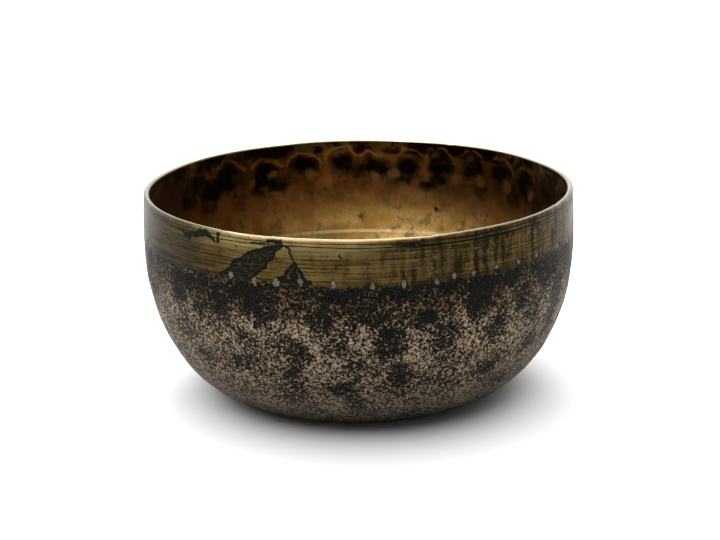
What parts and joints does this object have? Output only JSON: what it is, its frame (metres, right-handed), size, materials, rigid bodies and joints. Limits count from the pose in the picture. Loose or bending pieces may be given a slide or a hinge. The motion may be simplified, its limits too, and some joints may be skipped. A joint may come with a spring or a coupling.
{
  "type": "singing bowl",
  "caption": "Hand-hammered bronze singing bowl: a deep round shell with steep sides, a rounded lip above incised lines and a flat underside to stand on.",
  "frame": {"origin": "middle of the flat underside", "axes": "+Z along the bowl's turning axis, up out of the mouth; -Y towards the side with the dark wedge mark"},
  "size_m": [0.17, 0.17, 0.082],
  "materials": {
    "hammered_bronze": "aged satin"
  },
  "bodies": {
    "root": {"bowl": "hammered_bronze"}
  },
  "joints": []
}
